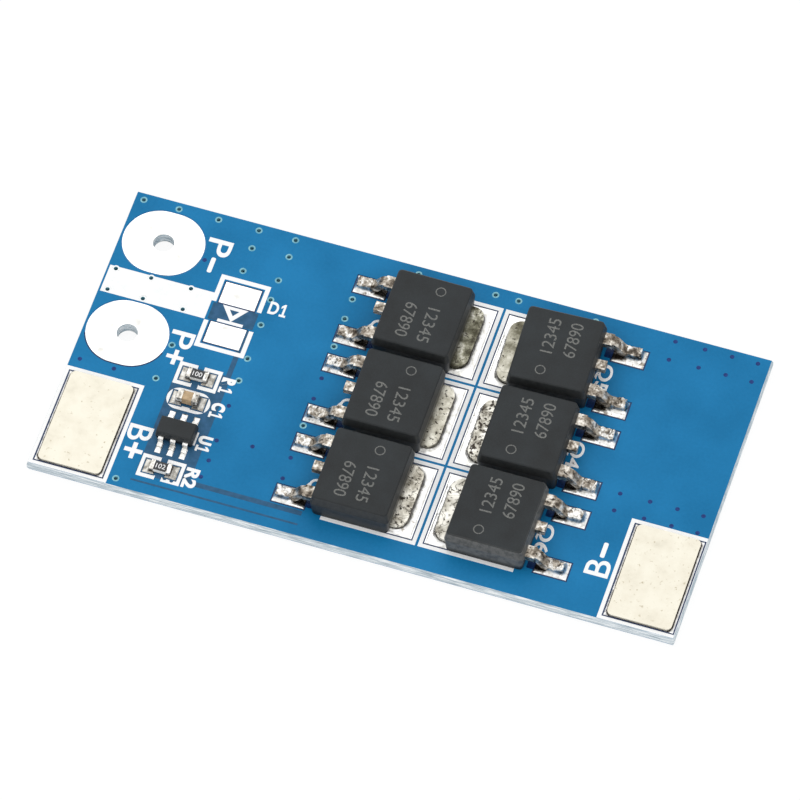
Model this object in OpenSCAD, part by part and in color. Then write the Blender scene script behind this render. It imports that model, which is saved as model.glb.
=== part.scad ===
// Battery management board: a bare laminate board that carries six power
// transistors in flat-tab packages, a six-lead controller, two chip resistors,
// a chip capacitor, two plated output holes and two soldered nickel plates.
// Millimetres. The origin is the centre of the underside, +X runs along the
// board towards the negative battery plate, +Y to the back edge and +Z up.

/* [Board] */
// Length of the board
board_length = 50; // [49:0.5:60]
// Width of the board
board_width = 25; // [24.5:0.5:34]
// Thickness over both coats of solder mask
board_thickness = 1; // [0.8:0.1:1.6]
// Thickness of one coat of solder mask
mask_thickness = 0.03; // [0.02:0.01:0.04]
// Height of a tinned pad over the laminate
pad_thickness = 0.05; // [0.05:0.01:0.08]
// Thickness of the white print
print_thickness = 0.02; // [0.01:0.01:0.03]
// Bare gap between a pad and the mask around it
mask_gap = 0.1; // [0.06:0.01:0.12]
// Depth of the score that the board was snapped at
score_depth = 0.3; // [0.2:0.05:0.38]
// Width that the score takes off each edge
score_width = 0.09; // [0.05:0.01:0.12]

/* [Output pads] */
// Length of an output pad along the board
output_pad_length = 6.3; // [6:0.1:6.4]
// Width of an output pad across the board
output_pad_width = 5.5; // [5:0.1:5.6]
// Diameter of the plated wire hole
output_hole = 1.6; // [1:0.1:2.4]
// Distance from the left edge to the output holes
output_side = 3.43; // [3.4:0.01:3.6]
// Share of the spare width behind the battery plates that lies before the output pads
output_gap_front = 1.23; // [1:0.01:1.5]
// Share of it that lies between the output pads
output_gap_middle = 2.8; // [2.4:0.05:3.2]
// Share of it that lies behind the output pads
output_gap_back = 1.11; // [0.8:0.01:1.4]

/* [Battery plates] */
// Width of a nickel plate along the board
plate_width = 4.9; // [4:0.1:5.1]
// Length of a nickel plate across the board
plate_length = 7.95; // [6:0.05:8.1]
// Thickness of a nickel plate
plate_thickness = 0.25; // [0.15:0.05:0.6]
// Radius of a plate's corners
plate_corner = 0.4; // [0.1:0.05:1]
// Tinned border left and right of a plate
plate_border_x = 0.21; // [0.05:0.01:0.3]
// Tinned border in front of and behind a plate
plate_border_y = 0.03; // [0.02:0.01:0.2]
// Width of the printed frame around a plate
plate_frame_line = 0.3; // [0.2:0.02:0.34]
// Gap between the printed frame and the board's edges
plate_frame_edge = 0.05; // [0.05:0.01:0.2]
// How much nearer to its edge the negative plate sits
minus_plate_shift = 0.23; // [0:0.01:0.25]

/* [Power packages] */
// Length of the moulding from its leads to its tab
package_length = 6.1; // [5.8:0.1:6.2]
// Width of the moulding
package_width = 6.6; // [6.2:0.1:6.7]
// Height of the moulding
package_height = 2.3; // [2.1:0.05:2.5]
// Radius of the moulding's upright corners
package_corner = 0.3; // [0.15:0.05:0.5]
// Draft of the moulding's upper half on each side
top_draft = 0.16; // [0.05:0.01:0.25]
// Draft of the moulding's lower half on each side
bottom_draft = 0.1; // [0.05:0.01:0.2]
// Distance between the two outer leads
lead_spacing = 4.57; // [4.4:0.05:4.7]
// Width of a lead at its foot
lead_width = 0.8; // [0.6:0.05:0.9]
// Width of a lead where it leaves the moulding
lead_root_width = 1; // [0.9:0.05:1.1]
// Length of a lead's wide root outside the moulding
lead_root = 0.7; // [0.4:0.1:0.9]
// Thickness of the leads
lead_thickness = 0.5; // [0.4:0.05:0.6]
// Height of a lead's underside where it leaves the moulding
lead_rise = 0.95; // [0.8:0.05:1.1]
// Distance from the moulding to a lead's tip
lead_reach = 2.85; // [2.6:0.05:3]
// Length of a lead's foot on its pad
lead_foot = 1.35; // [1.2:0.05:1.5]
// Level run of a lead before it bends down
lead_run = 0.8; // [0.6:0.05:0.95]
// Length of the cut centre lead
stub_length = 0.75; // [0.5:0.05:0.9]
// Width of the metal tab
tab_width = 5.4; // [5:0.1:5.6]
// Thickness of the metal tab
tab_thickness = 0.5; // [0.4:0.05:0.6]
// Length of the tab outside the moulding
tab_reach = 1.05; // [0.8:0.05:1.2]
// Radius of the tab's outer corners
tab_corner = 0.9; // [0.4:0.1:1.1]
// Distance between the rows of packages
row_pitch = 7.2; // [7.1:0.05:7.4]
// Distance from the board's middle to the middle row
row_shift = 0.08; // [-0.2:0.02:0.2]
// Distance from the board's middle to the line between the columns
column_shift = 4.65; // [4.4:0.05:4.9]
// Distance from that line to the middle of each column
column_offset = 5.25; // [5.2:0.05:5.4]
// Length of a lead's pad
lead_pad_length = 2.5; // [2.2:0.1:2.6]
// Width of a lead's pad
lead_pad_width = 1.5; // [1.3:0.05:1.6]
// How far a lead's pad reaches past the lead's tip
lead_pad_toe = 0.2; // [0.1:0.05:0.3]
// Solder left between a pad and what stands on it
solder_film = 0.04; // [0.03:0.01:0.06]
// Height of the solder up a foot or the tab
solder_climb = 0.34; // [0.2:0.02:0.38]

/* [Small parts] */
// Distance from the left edge to the column of small parts
small_side = 9.7; // [9.6:0.05:9.9]
// Length of a chip resistor or capacitor
chip_length = 1.6; // [1.4:0.1:1.7]
// Width of a chip resistor or capacitor
chip_width = 0.8; // [0.7:0.05:0.9]
// Height of a chip resistor
resistor_height = 0.42; // [0.35:0.01:0.6]
// Height of the chip capacitor
capacitor_height = 0.75; // [0.5:0.05:0.9]
// Length of a chip resistor's metal end
resistor_end = 0.3; // [0.2:0.05:0.4]
// Length of the chip capacitor's metal end
capacitor_end = 0.42; // [0.3:0.02:0.5]
// Thickness of a chip's metal end
chip_end_wall = 0.03; // [0.02:0.01:0.05]
// Thickness of a resistor's glass coat
resistor_coat = 0.03; // [0.02:0.01:0.05]
// Distance from the front edge to the first resistor
first_resistor_front = 10.75; // [10.6:0.05:10.9]
// Distance from the front edge to the capacitor
capacitor_front = 8.6; // [8.55:0.05:8.65]
// Distance from the front edge to the controller
controller_front = 5.55; // [5.5:0.05:5.6]
// Distance from the front edge to the second resistor
second_resistor_front = 2.4; // [2.3:0.05:2.5]
// Distance from the left edge to the empty diode place
diode_side = 10.45; // [10.3:0.05:10.6]
// Distance from the back edge to the empty diode place
diode_back = 8.42; // [8.3:0.02:8.6]

/* [Controller] */
// How far the controller sits right of the other small parts
controller_slide = 0.18; // [0:0.02:0.2]
// Length of the controller's moulding
controller_length = 2.9; // [2.7:0.1:3]
// Width of the controller's moulding
controller_width = 1.6; // [1.5:0.05:1.7]
// Height of the controller's moulding
controller_height = 1.05; // [0.9:0.05:1.2]
// Gap under the controller's moulding
controller_standoff = 0.08; // [0.05:0.01:0.12]
// Distance across the tips of the controller's leads
controller_span = 2.8; // [2.7:0.05:2.9]
// Distance between the controller's leads
controller_pitch = 0.95; // [0.9:0.05:0.95]
// Width of a controller lead
controller_lead_width = 0.38; // [0.3:0.02:0.44]
// Thickness of a controller lead
controller_lead_thickness = 0.14; // [0.1:0.02:0.18]

/* [Holes between the copper layers] */
// Drilled diameter inside the plating
via_drill = 0.3; // [0.2:0.05:0.35]
// Wall of the plating
via_wall = 0.04; // [0.03:0.01:0.06]
// Diameter of the ring around an open hole
via_ring = 0.54; // [0.48:0.02:0.56]

/* [Print] */
// Width of the printed outlines around the small parts
print_line = 0.35; // [0.25:0.01:0.4]
// Width of the printed frames around the power packages
package_frame_line = 0.3; // [0.25:0.01:0.36]
// Gap between neighbouring package frames
package_frame_gap = 0.2; // [0.12:0.02:0.24]

/* [Hidden] */
$fn = 48;
slice = 0.01;
mould_facets = 32;

// Where each package sits: name, side of the column line, row, and the small
// turn and slide that it took while its solder set.
LEFT = -1;
RIGHT = 1;
packages = [
  ["q1", LEFT, 1, -0.4, 0],
  ["q2", LEFT, 0, 0.3, 0.05],
  ["q3", LEFT, -1, 0, 0],
  ["q4", RIGHT, 0, 1, 0],
  ["q5", RIGHT, 1, 2.5, -0.1],
  ["q6", RIGHT, -1, 0, -0.15],
];
chips = ["r1", "r2"];

// Levels
laminate_bottom = mask_thickness;
laminate_top = board_thickness - mask_thickness;
print_bottom = board_thickness;
pad_top = laminate_top + pad_thickness;
seat = pad_top + solder_film;

// Edges and anchors
left = -board_length / 2;
right = board_length / 2;
front = -board_width / 2;
back = board_width / 2;
small_x = left + small_side;
diode = [left + diode_side, back - diode_back];

// Battery plates, each in a corner at the front
plate_pad = [plate_width + 2 * plate_border_x, plate_length + 2 * plate_border_y];
plate_frame = [for (s = plate_pad) s + 2 * (mask_gap + plate_frame_line)];
plate_y = front + plate_frame_edge + plate_frame[1] / 2;
plus_plate_x = left + plate_frame_edge + plate_frame[0] / 2;
minus_plate_x = right - plate_frame_edge - plate_frame[0] / 2 + minus_plate_shift;

// Output pads: the width that the plates and the pads leave is shared between three gaps
spare_width = board_width - plate_frame_edge - plate_frame[1] - 2 * output_pad_width;
spare_unit = spare_width / (output_gap_front + output_gap_middle + output_gap_back);
strip_width = output_gap_middle * spare_unit;
output_x = left + output_side;
minus_y = back - output_gap_back * spare_unit - output_pad_width / 2;
plus_y = minus_y - output_pad_width - strip_width;
strip_y = (minus_y + plus_y) / 2;

// Power packages, in their own frame: leads to -X, tab to +X, seat at Z = 0
mould_end = package_length / 2;
lead_tip = mould_end + lead_reach;
lead_bury = 1.1;
lead_bend = 0.3;
gate_y = lead_spacing / 2;
paddle_end = -0.25 * package_length;
tab_end = mould_end + tab_reach;
parting_height = lead_rise + lead_thickness;
frame_reach = column_offset - package_frame_gap / 2;
frame_start = -0.36 * package_length;
tab_pad_end = frame_reach - package_frame_line - mask_gap;
tab_pad_start = -0.3 * package_length;
tab_pad_half = (row_pitch - package_frame_gap) / 2 - package_frame_line - mask_gap;
lead_pad_x = -(lead_tip + lead_pad_toe - lead_pad_length / 2);

// Small parts
chip_pad = [0.9, 1.15];
chip_pad_x = 0.86;
controller_pad = [0.45, 0.95];
controller_pad_y = controller_span / 2;
diode_pad = [2.8, 1.85];
diode_pad_y = 1.8;
r1_y = front + first_resistor_front;
c1_y = front + capacitor_front;
u1_y = front + controller_front;
r2_y = front + second_resistor_front;

// Holes between the copper layers, from the edge or the line that each keeps to
row_line = [for (side = [1, -1]) row_shift + side * row_pitch / 2];
lead_via_x = column_shift - column_offset + lead_pad_x - lead_pad_length / 2 + 0.2;
open_via_places = concat(
  [for (x = [0.75, 3.55, 6.7, 9.9, 12.8]) [left + x, back - 0.65]],
  [for (x = [-7.1, -1.05, 0.75, 6.75]) [column_shift + x, back - 0.75]],
  [for (x = [0.75, 3.55, 6.7], side = [-1, 1]) [left + x, strip_y + side * (strip_width / 2 - 0.45)]],
  [for (p = [[9.9, 2.3], [12.8, 2.2], [9.9, 4.4], [12.7, 4.4], [12.7, 6.2], [12.7, 8.5], [12.7, 11.6],
    [12.7, 13.6], [6.95, 12.15]]) [left + p[0], back - p[1]]],
  [for (y = [9.75, 0.7]) [left + 6.75, front + y]],
  [for (y = row_line) [lead_via_x, y + 0.16]],
  [for (y = [-0.9, 0.9]) [lead_via_x, row_shift + row_pitch + y]]
);
covered_via_places = concat(
  [for (p = [[6.85, 4.35], [0.8, 15.35], [3.5, 15.4]]) [left + p[0], back - p[1]]],
  [for (p = [[12.7, 9.1], [12.8, 6], [12.8, 4.2], [12.7, 2.7], [15.5, 6.3], [10.2, 1.75], [10.75, 1.7]])
    [left + p[0], front + p[1]]],
  [for (row = [0, -1], y = [-1, 0.85]) [lead_via_x, row_shift + row * row_pitch + y]],
  [for (x = [1, 3, 5.1, 7.4], y = [0.65, 2.3, 14.4, 15.9]) [right - x, back - y]]
);

// ---- Shapes used again ----

// A path with each inner corner turned into an arc-like bend
function bend_point(a, b, t) = a * (1 - t) + b * t;
function bent(path, radius, steps = 6) = [
  for (i = [0:len(path) - 1])
    let (p = path[i])
    if (i == 0 || i == len(path) - 1) p
    else
      let (
        before = p + radius * (path[i - 1] - p) / norm(path[i - 1] - p),
        after = p + radius * (path[i + 1] - p) / norm(path[i + 1] - p)
      )
      each [for (k = [0:steps])
        bend_point(bend_point(before, p, k / steps), bend_point(p, after, k / steps), k / steps)]
];

// The outline of a strip of one thickness that follows a path
function unit(v) = v / norm(v);
function left_of(v) = [-v[1], v[0]];
function strip_side(path, half) = [
  for (i = [0:len(path) - 1])
    let (
      first = unit(path[max(i, 1)] - path[max(i, 1) - 1]),
      last = unit(path[min(i + 1, len(path) - 1)] - path[min(i + 1, len(path) - 1) - 1]),
      middle = unit(first + last)
    )
    path[i] + half / (middle * first) * left_of(middle)
];
function reversed(list) = [for (i = [len(list) - 1:-1:0]) list[i]];
function strip(path, thickness) =
  concat(strip_side(path, thickness / 2), reversed(strip_side(path, -thickness / 2)));

// Stands an XZ outline up as a bar that is centred on Y
module side_bar(outline, width) {
  rotate([90, 0, 0]) linear_extrude(width, center = true) polygon(outline);
}

module rounded_plate(size, radius) {
  union() {
    square([size[0] - 2 * radius, size[1]], center = true);
    square([size[0], size[1] - 2 * radius], center = true);
    for (sx = [-1, 1], sy = [-1, 1])
      translate([sx * (size[0] / 2 - radius), sy * (size[1] / 2 - radius)]) circle(radius);
  }
}

module obround(length, width) {
  union() {
    square([length - width, width], center = true);
    for (side = [-1, 1]) translate([side * (length - width) / 2, 0]) circle(d = width);
  }
}

module frame_outline(size, line) {
  difference() {
    square(size, center = true);
    square([size[0] - 2 * line, size[1] - 2 * line], center = true);
  }
}

// Four upright corner posts of one thin slice through a moulding
module mould_slice(size, inset, z, radius) {
  for (sx = [-1, 1], sy = [-1, 1])
    translate([sx * (size[0] / 2 - inset - radius), sy * (size[1] / 2 - inset - radius), z])
      cylinder(r = radius, h = slice, $fn = mould_facets);
}

// A moulding that widens from its underside to its parting line and narrows to its top
module drafted_moulding(size, low, parting, high, low_inset, high_inset, radius) {
  edge = 0.08;
  hull() {
    mould_slice(size, low_inset, low, radius);
    mould_slice(size, 0, parting - slice / 2, radius);
    mould_slice(size, high_inset - slice, high - edge, radius);
    mould_slice(size, high_inset + edge, high - slice, radius);
  }
}

// ---- Places ----

module at_package(q) {
  side = q[1];
  translate([column_shift + side * column_offset + q[4], row_shift + q[2] * row_pitch, seat])
    rotate(q[3] + (side == RIGHT ? 180 : 0)) children();
}

// The printed board around a package, which doesn't share the package's small turn
module at_footprint(q) {
  side = q[1];
  translate([column_shift + side * column_offset, row_shift + q[2] * row_pitch])
    rotate(side == RIGHT ? 180 : 0) children();
}

module at_small(y, slide = 0) {
  translate([small_x + slide, y]) children();
}

// ---- Copper and openings, drawn in plan ----

module output_pad_plan(grow = 0) {
  obround(output_pad_length + 2 * grow, output_pad_width + 2 * grow);
}

module both_outputs() {
  for (y = [minus_y, plus_y]) translate([output_x, y]) children();
}

module pad_plan(size, grow) {
  square([size[0] + 2 * grow, size[1] + 2 * grow], center = true);
}

module package_pads(grow) {
  for (side = [-1, 1])
    translate([lead_pad_x, side * gate_y]) pad_plan([lead_pad_length, lead_pad_width], grow);
  translate([(tab_pad_start + tab_pad_end) / 2, 0])
    pad_plan([tab_pad_end - tab_pad_start, 2 * tab_pad_half], grow);
}

module small_pads(grow) {
  for (y = [r1_y, c1_y, r2_y], side = [-1, 1])
    at_small(y) translate([side * chip_pad_x, 0]) pad_plan(chip_pad, grow);
  for (column = [-1, 0, 1], side = [-1, 1])
    at_small(u1_y, controller_slide) translate([column * controller_pitch, side * controller_pad_y])
      pad_plan(controller_pad, grow);
  for (side = [-1, 1])
    translate([diode[0], diode[1] + side * diode_pad_y]) pad_plan(diode_pad, grow);
}

module plate_pads(grow) {
  for (x = [plus_plate_x, minus_plate_x]) translate([x, plate_y]) pad_plan(plate_pad, grow);
}

module tinned_plan(grow = 0) {
  for (q = packages) at_footprint(q) package_pads(grow);
  small_pads(grow);
  plate_pads(grow);
}

module via_plan(places, diameter) {
  for (p = places) translate(p) circle(d = diameter, $fn = 24);
}

// ---- Board ----

// One side of the scored and snapped edge, as a section of the given width
module scored_section(width) {
  half = width / 2;
  polygon([
    [-half + score_width, laminate_bottom], [half - score_width, laminate_bottom],
    [half, score_depth], [half, board_thickness - score_depth],
    [half - score_width, laminate_top], [-half + score_width, laminate_top],
    [-half, board_thickness - score_depth], [-half, score_depth],
  ]);
}

module laminate() {
  color("lightgray") difference() {
    intersection() {
      rotate([90, 0, 0]) linear_extrude(2 * board_width, center = true) scored_section(board_length);
      rotate([90, 0, 90]) linear_extrude(2 * board_length, center = true) scored_section(board_width);
    }
    both_outputs() cylinder(d = output_hole, h = 3 * board_thickness, center = true);
    linear_extrude(2 * board_thickness) via_plan(open_via_places, via_drill + 2 * via_wall);
    linear_extrude(2 * board_thickness) via_plan(covered_via_places, via_drill + 2 * via_wall);
  }
}

module mask_coat() {
  difference() {
    square([board_length - 2 * score_width, board_width - 2 * score_width], center = true);
    both_outputs() output_pad_plan(mask_gap);
    via_plan(open_via_places, via_ring);
    children();
  }
}

module top_mask() {
  color("royalblue") translate([0, 0, laminate_top])
    linear_extrude(mask_thickness) mask_coat() tinned_plan(mask_gap);
}

module bottom_mask() {
  color("royalblue") linear_extrude(mask_thickness) mask_coat();
}

module tinned_pads() {
  color("silver") translate([0, 0, laminate_top]) linear_extrude(pad_thickness) tinned_plan();
}

// A wire hole's tinned pad on the component side and its pad underneath
module output_pad(y) {
  color("whitesmoke") translate([output_x, y, 0]) difference() {
    union() {
      translate([0, 0, laminate_top]) linear_extrude(pad_thickness) output_pad_plan();
      linear_extrude(mask_thickness) output_pad_plan();
    }
    cylinder(d = output_hole, h = 3 * board_thickness, center = true);
  }
}

module p_minus_pad() {
  output_pad(minus_y);
}

module p_plus_pad() {
  output_pad(plus_y);
}

module open_vias() {
  color("cadetblue") for (p = open_via_places) translate(p) difference() {
    union() {
      cylinder(d = via_ring, h = mask_thickness, $fn = 24);
      cylinder(d = via_drill + 2 * via_wall, h = board_thickness, $fn = 24);
      translate([0, 0, laminate_top]) cylinder(d = via_ring, h = mask_thickness, $fn = 24);
    }
    cylinder(d = via_drill, h = 3 * board_thickness, center = true, $fn = 24);
  }
}

module covered_vias() {
  color("steelblue") for (p = covered_via_places) translate([p[0], p[1], laminate_bottom]) difference() {
    cylinder(d = via_drill + 2 * via_wall, h = laminate_top - laminate_bottom, $fn = 24);
    cylinder(d = via_drill, h = 3 * board_thickness, center = true, $fn = 24);
  }
}

// ---- White print ----

// Three sides around a package's tab, open towards its leads
module package_frame() {
  reach = frame_reach - frame_start;
  width = row_pitch - package_frame_gap;
  translate([frame_start + reach / 2, 0]) difference() {
    square([reach, width], center = true);
    translate([-package_frame_line, 0]) square([reach, width - 2 * package_frame_line], center = true);
  }
}

// Two facing brackets around a chip resistor
module resistor_brackets() {
  bracket = [3.35, 1.95];
  opening = 0.5;
  difference() {
    frame_outline(bracket, print_line);
    square([opening, 2 * bracket[1]], center = true);
  }
}

module capacitor_outline() {
  outline = [3.35, 1.85];
  difference() {
    obround(outline[0], outline[1]);
    obround(outline[0] - 2 * print_line, outline[1] - 2 * print_line);
  }
}

// Brackets around the two diode pads, and the arrow between them
module diode_print() {
  bracket = [3.9, 2.4];
  pad_inner = diode_pad_y - diode_pad[1] / 2;
  for (side = [-1, 1]) scale([1, side]) translate([0, pad_inner + bracket[1] / 2]) difference() {
    square(bracket, center = true);
    translate([0, -print_line]) square([bracket[0] - 2 * print_line, bracket[1]], center = true);
  }
  arrow_top = pad_inner - mask_gap - 0.02;
  arrow_half = 1;
  arrow_tip = 1.3;
  bar = 0.25;
  arrow_middle = arrow_top - arrow_tip / 3;
  arrow = [[-arrow_half, arrow_top], [arrow_half, arrow_top], [0, arrow_top - arrow_tip]];
  open_share = 0.38;
  difference() {
    polygon(arrow);
    translate([0, arrow_middle]) scale(open_share) translate([0, -arrow_middle]) polygon(arrow);
  }
  translate([0, -arrow_top + bar / 2]) square([2 * arrow_half, bar], center = true);
}

module controller_mark() {
  mark = [0.14, 1.15];
  translate([(controller_length + mark[0]) / 2 - 0.09, 0.1]) square(mark, center = true);
}

module plate_frames() {
  for (x = [plus_plate_x, minus_plate_x])
    translate([x, plate_y]) frame_outline(plate_frame, plate_frame_line);
}

// Solid block between the two output pads
module output_block() {
  block_length = 8.25;
  block_gap = 0.21;
  translate([left + 0.25 + block_length / 2, strip_y - 0.04])
    square([block_length, strip_width - 2 * block_gap], center = true);
}

module print_plan() {
  for (q = packages) at_footprint(q) package_frame();
  for (y = [r1_y, r2_y]) at_small(y) resistor_brackets();
  at_small(c1_y) capacitor_outline();
  at_small(u1_y, controller_slide) controller_mark();
  translate(diode) diode_print();
  plate_frames();
  output_block();
}

module print() {
  color("white") translate([0, 0, print_bottom]) linear_extrude(print_thickness) intersection() {
    difference() {
      print_plan();
      both_outputs() output_pad_plan(mask_gap);
      tinned_plan(mask_gap);
      via_plan(open_via_places, via_ring);
      via_plan(covered_via_places, via_drill);
    }
    square([board_length - 2 * score_width, board_width - 2 * score_width], center = true);
  }
}

// ---- Battery plates ----

module battery_plate(x) {
  color("beige") translate([x, plate_y, pad_top])
    linear_extrude(plate_thickness) rounded_plate([plate_width, plate_length], plate_corner);
}

module b_plus_plate() {
  battery_plate(plus_plate_x);
}

module b_minus_plate() {
  battery_plate(minus_plate_x);
}

// ---- Power packages ----

// Path of a lead's middle: out of the moulding, down and along its foot
lead_path = [
  [-(mould_end - lead_bury), lead_rise + lead_thickness / 2],
  [-(mould_end + lead_run), lead_rise + lead_thickness / 2],
  [-(lead_tip - lead_foot), lead_thickness / 2],
  [-lead_tip, lead_thickness / 2],
];

// Side view and plan of a lead, each cutting the other
module lead_form() {
  intersection() {
    side_bar(strip(bent(lead_path, lead_bend), lead_thickness), 2 * lead_root_width);
    linear_extrude(package_height) union() {
      translate([-lead_tip, -lead_width / 2]) square([lead_tip, lead_width]);
      translate([-(mould_end + lead_root), -lead_root_width / 2])
        square([mould_end + lead_root, lead_root_width]);
    }
  }
}

// Paddle under the moulding, its outer tab, and the step up to the cut centre lead
module tab_form() {
  step = [
    [paddle_end + tab_thickness, tab_thickness / 2],
    [paddle_end - 0.1, tab_thickness / 2],
    [paddle_end - 0.7, lead_rise + lead_thickness / 2],
    [-(mould_end + stub_length), lead_rise + lead_thickness / 2],
  ];
  union() {
    linear_extrude(tab_thickness) union() {
      translate([paddle_end, -tab_width / 2])
        square([tab_end - tab_corner - paddle_end, tab_width]);
      translate([tab_end - tab_corner - slice, -tab_width / 2 + tab_corner])
        square([tab_corner + slice, tab_width - 2 * tab_corner]);
      for (side = [-1, 1])
        translate([tab_end - tab_corner, side * (tab_width / 2 - tab_corner)]) circle(tab_corner);
    }
    side_bar(strip(bent(step, lead_bend), tab_thickness), lead_width);
  }
}

module moulding_form() {
  drafted_moulding([package_length, package_width], 0, parting_height, package_height,
    bottom_draft, top_draft, package_corner);
}

module package_moulding(q) {
  color("dimgray") at_package(q) difference() {
    moulding_form();
    tab_form();
    for (side = [-1, 1]) translate([0, side * gate_y, 0]) lead_form();
  }
}

module package_tab(q) {
  color("silver") at_package(q) tab_form();
}

module package_lead(q, side) {
  color("silver") at_package(q) translate([0, side * gate_y, 0]) lead_form();
}

// Solder under and up the sides of a foot: from its pad to a rim around the foot
module foot_solder(q, side) {
  rim = 0.1;
  skirt = 0.06;
  foot_middle = -(lead_tip - lead_foot / 2);
  pad_length = lead_foot + lead_pad_toe + 0.3;
  difference() {
    hull() {
      translate([0, 0, pad_top]) linear_extrude(slice) at_footprint(q)
        translate([-(lead_tip + lead_pad_toe - skirt - pad_length / 2), side * gate_y])
          square([pad_length, lead_pad_width - 2 * skirt], center = true);
      at_package(q) translate([foot_middle, side * gate_y, solder_climb - slice])
        linear_extrude(slice) rounded_plate([lead_foot + 2 * rim, lead_width + 2 * rim], 0.2);
    }
    at_package(q) translate([0, side * gate_y, 0]) lead_form();
  }
}

// Solder under the paddle and up the three outer sides of the tab
module tab_solder(q) {
  rim = 0.08;
  rim_corner = 0.6;
  skirt = 0.1;
  clear = 0.05;
  rim_start = mould_end - 0.4;
  at_package(q) translate([paddle_end, -tab_width / 2, -solder_film])
    cube([rim_start + clear - paddle_end, tab_width, solder_film]);
  difference() {
    hull() {
      translate([0, 0, pad_top]) linear_extrude(slice) at_footprint(q)
        translate([(rim_start + tab_pad_end - skirt) / 2, 0])
          square([tab_pad_end - skirt - rim_start, 2 * (tab_pad_half - skirt)], center = true);
      at_package(q) translate([(rim_start + tab_end + rim) / 2, 0, solder_climb - slice])
        linear_extrude(slice) rounded_plate([tab_end + rim - rim_start, tab_width + 2 * rim], rim_corner);
    }
    at_package(q) tab_form();
    at_package(q) translate([-package_length + mould_end + clear, -package_width, 0])
      cube([package_length, 2 * package_width, package_height]);
  }
}

module package_solder(q) {
  color("gainsboro") union() {
    for (side = [-1, 1]) foot_solder(q, side);
    tab_solder(q);
  }
}

// ---- Chip resistors and capacitor ----

module chip_core(height) {
  translate([0, 0, height / 2])
    cube([chip_length - 2 * chip_end_wall, chip_width - 2 * chip_end_wall, height - 2 * chip_end_wall],
      center = true);
}

module chip_ends(y, height, end) {
  color("silver") translate([0, 0, seat]) at_small(y) difference() {
    for (side = [-1, 1])
      translate([side * (chip_length - end) / 2, 0, height / 2])
        cube([end, chip_width, height], center = true);
    chip_core(height);
  }
}

module chip_ceramic(y, height, shade) {
  color(shade) translate([0, 0, seat]) at_small(y) chip_core(height);
}

module resistor_coat_layer(y) {
  color("black") translate([0, 0, seat + resistor_height - chip_end_wall]) at_small(y)
    translate([0, 0, resistor_coat / 2])
      cube([chip_length - 2 * resistor_end, chip_width - 2 * chip_end_wall, resistor_coat], center = true);
}

// ---- Controller ----

module controller_moulding_form() {
  drafted_moulding([controller_length, controller_width], controller_standoff,
    controller_height / 2, controller_height, 0.06, 0.08, 0.1);
}

module controller_leads_form() {
  root = controller_width / 2;
  tip = controller_span / 2;
  middle = controller_height / 2;
  half = controller_lead_thickness / 2;
  path = [[root - 0.3, middle], [root + 0.15, middle], [tip - 0.38, half], [tip, half]];
  for (column = [-1, 0, 1], turn = [0, 180])
    rotate(turn + 90) translate([0, column * controller_pitch, 0])
      side_bar(strip(bent(path, 0.1, 3), controller_lead_thickness), controller_lead_width);
}

module u1_moulding() {
  color("black") translate([0, 0, seat]) at_small(u1_y, controller_slide) difference() {
    controller_moulding_form();
    controller_leads_form();
  }
}

module u1_leads() {
  color("silver") translate([0, 0, seat]) at_small(u1_y, controller_slide) controller_leads_form();
}

// ---- Solder at the small parts ----

// A fillet against a chip's end, hollow like a quarter arc
module chip_fillet(height) {
  climb = 0.65 * height;
  reach = chip_pad_x + chip_pad[0] / 2 - chip_length / 2 - 0.04;
  under = resistor_end;
  rotate([90, 0, 0]) linear_extrude(chip_width, center = true) translate([chip_length / 2, 0])
    union() {
      translate([-under, 0]) square([under + reach, solder_film]);
      polygon(concat([[0, 0]],
        [for (k = [0:6]) let (a = 90 * k / 6) [reach * (1 - sin(a)), solder_film + climb * (1 - cos(a))]]));
    }
}

module lead_fillet() {
  toe = 0.1;
  foot = 0.4;
  back_step = controller_span / 2 - foot;
  translate([0, back_step + (foot + toe) / 2, solder_film / 2])
    cube([controller_lead_width, foot + toe, solder_film], center = true);
}

module small_solder() {
  color("gainsboro") translate([0, 0, pad_top]) {
    for (chip = [[r1_y, resistor_height], [r2_y, resistor_height], [c1_y, capacitor_height]])
      at_small(chip[0]) for (turn = [0, 180]) rotate(turn) chip_fillet(chip[1]);
    at_small(u1_y, controller_slide) for (column = [-1, 0, 1], turn = [0, 180])
      rotate(turn) translate([column * controller_pitch, 0, 0]) lead_fillet();
  }
}

laminate();
top_mask();
bottom_mask();
print();
tinned_pads();
open_vias();
covered_vias();
p_minus_pad();
p_plus_pad();
b_plus_plate();
b_minus_plate();
chip_ceramic(r1_y, resistor_height, "white");  // r1_ceramic
resistor_coat_layer(r1_y);  // r1_coat
chip_ends(r1_y, resistor_height, resistor_end);  // r1_ends
chip_ceramic(r2_y, resistor_height, "white");  // r2_ceramic
resistor_coat_layer(r2_y);  // r2_coat
chip_ends(r2_y, resistor_height, resistor_end);  // r2_ends
chip_ceramic(c1_y, capacitor_height, "tan");  // c1_ceramic
chip_ends(c1_y, capacitor_height, capacitor_end);  // c1_ends
u1_moulding();
u1_leads();
small_solder();
for (q = packages) {
  package_moulding(q);
  package_tab(q);
  package_lead(q, 1);
  package_lead(q, -1);
  package_solder(q);
}
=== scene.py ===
import math

import bmesh
import bpy
from mathutils import Matrix, Vector, noise


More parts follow.
